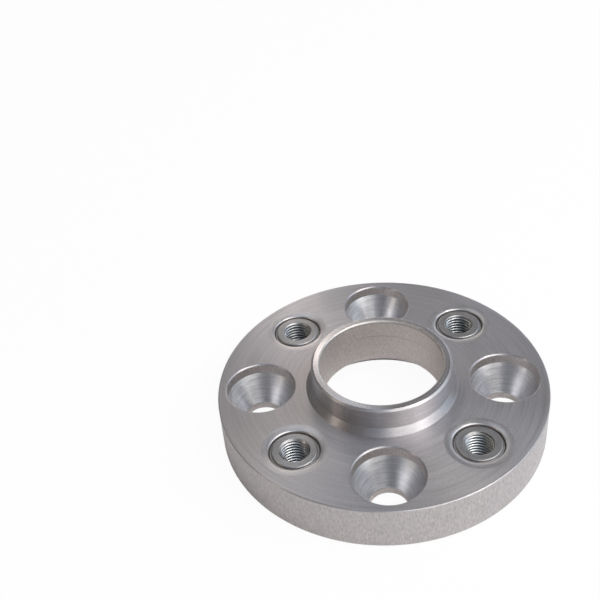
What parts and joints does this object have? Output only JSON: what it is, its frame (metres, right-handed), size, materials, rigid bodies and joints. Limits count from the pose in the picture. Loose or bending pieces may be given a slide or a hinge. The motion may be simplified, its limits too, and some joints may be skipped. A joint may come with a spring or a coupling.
{
  "type": "wheel spacer",
  "caption": "Thick turned aluminium disc with a raised centring collar, countersunk holes for hub bolts and steel threaded bushes for wheel bolts.",
  "frame": {"origin": "centre of the hub face, which it lies on", "axes": "+Z from the hub to the wheel, along the hub axis; +X and +Y through the hub bolt holes"},
  "size_m": [0.135, 0.135, 0.032],
  "materials": {
    "turned_aluminium": "turned, satin, bare",
    "zinc_plated_steel": "zinc plated, satin"
  },
  "bodies": {
    "root": {"spacer_body": "turned_aluminium", "thread_insert_1": "zinc_plated_steel", "thread_insert_2": "zinc_plated_steel", "thread_insert_3": "zinc_plated_steel", "thread_insert_4": "zinc_plated_steel"}
  },
  "joints": []
}
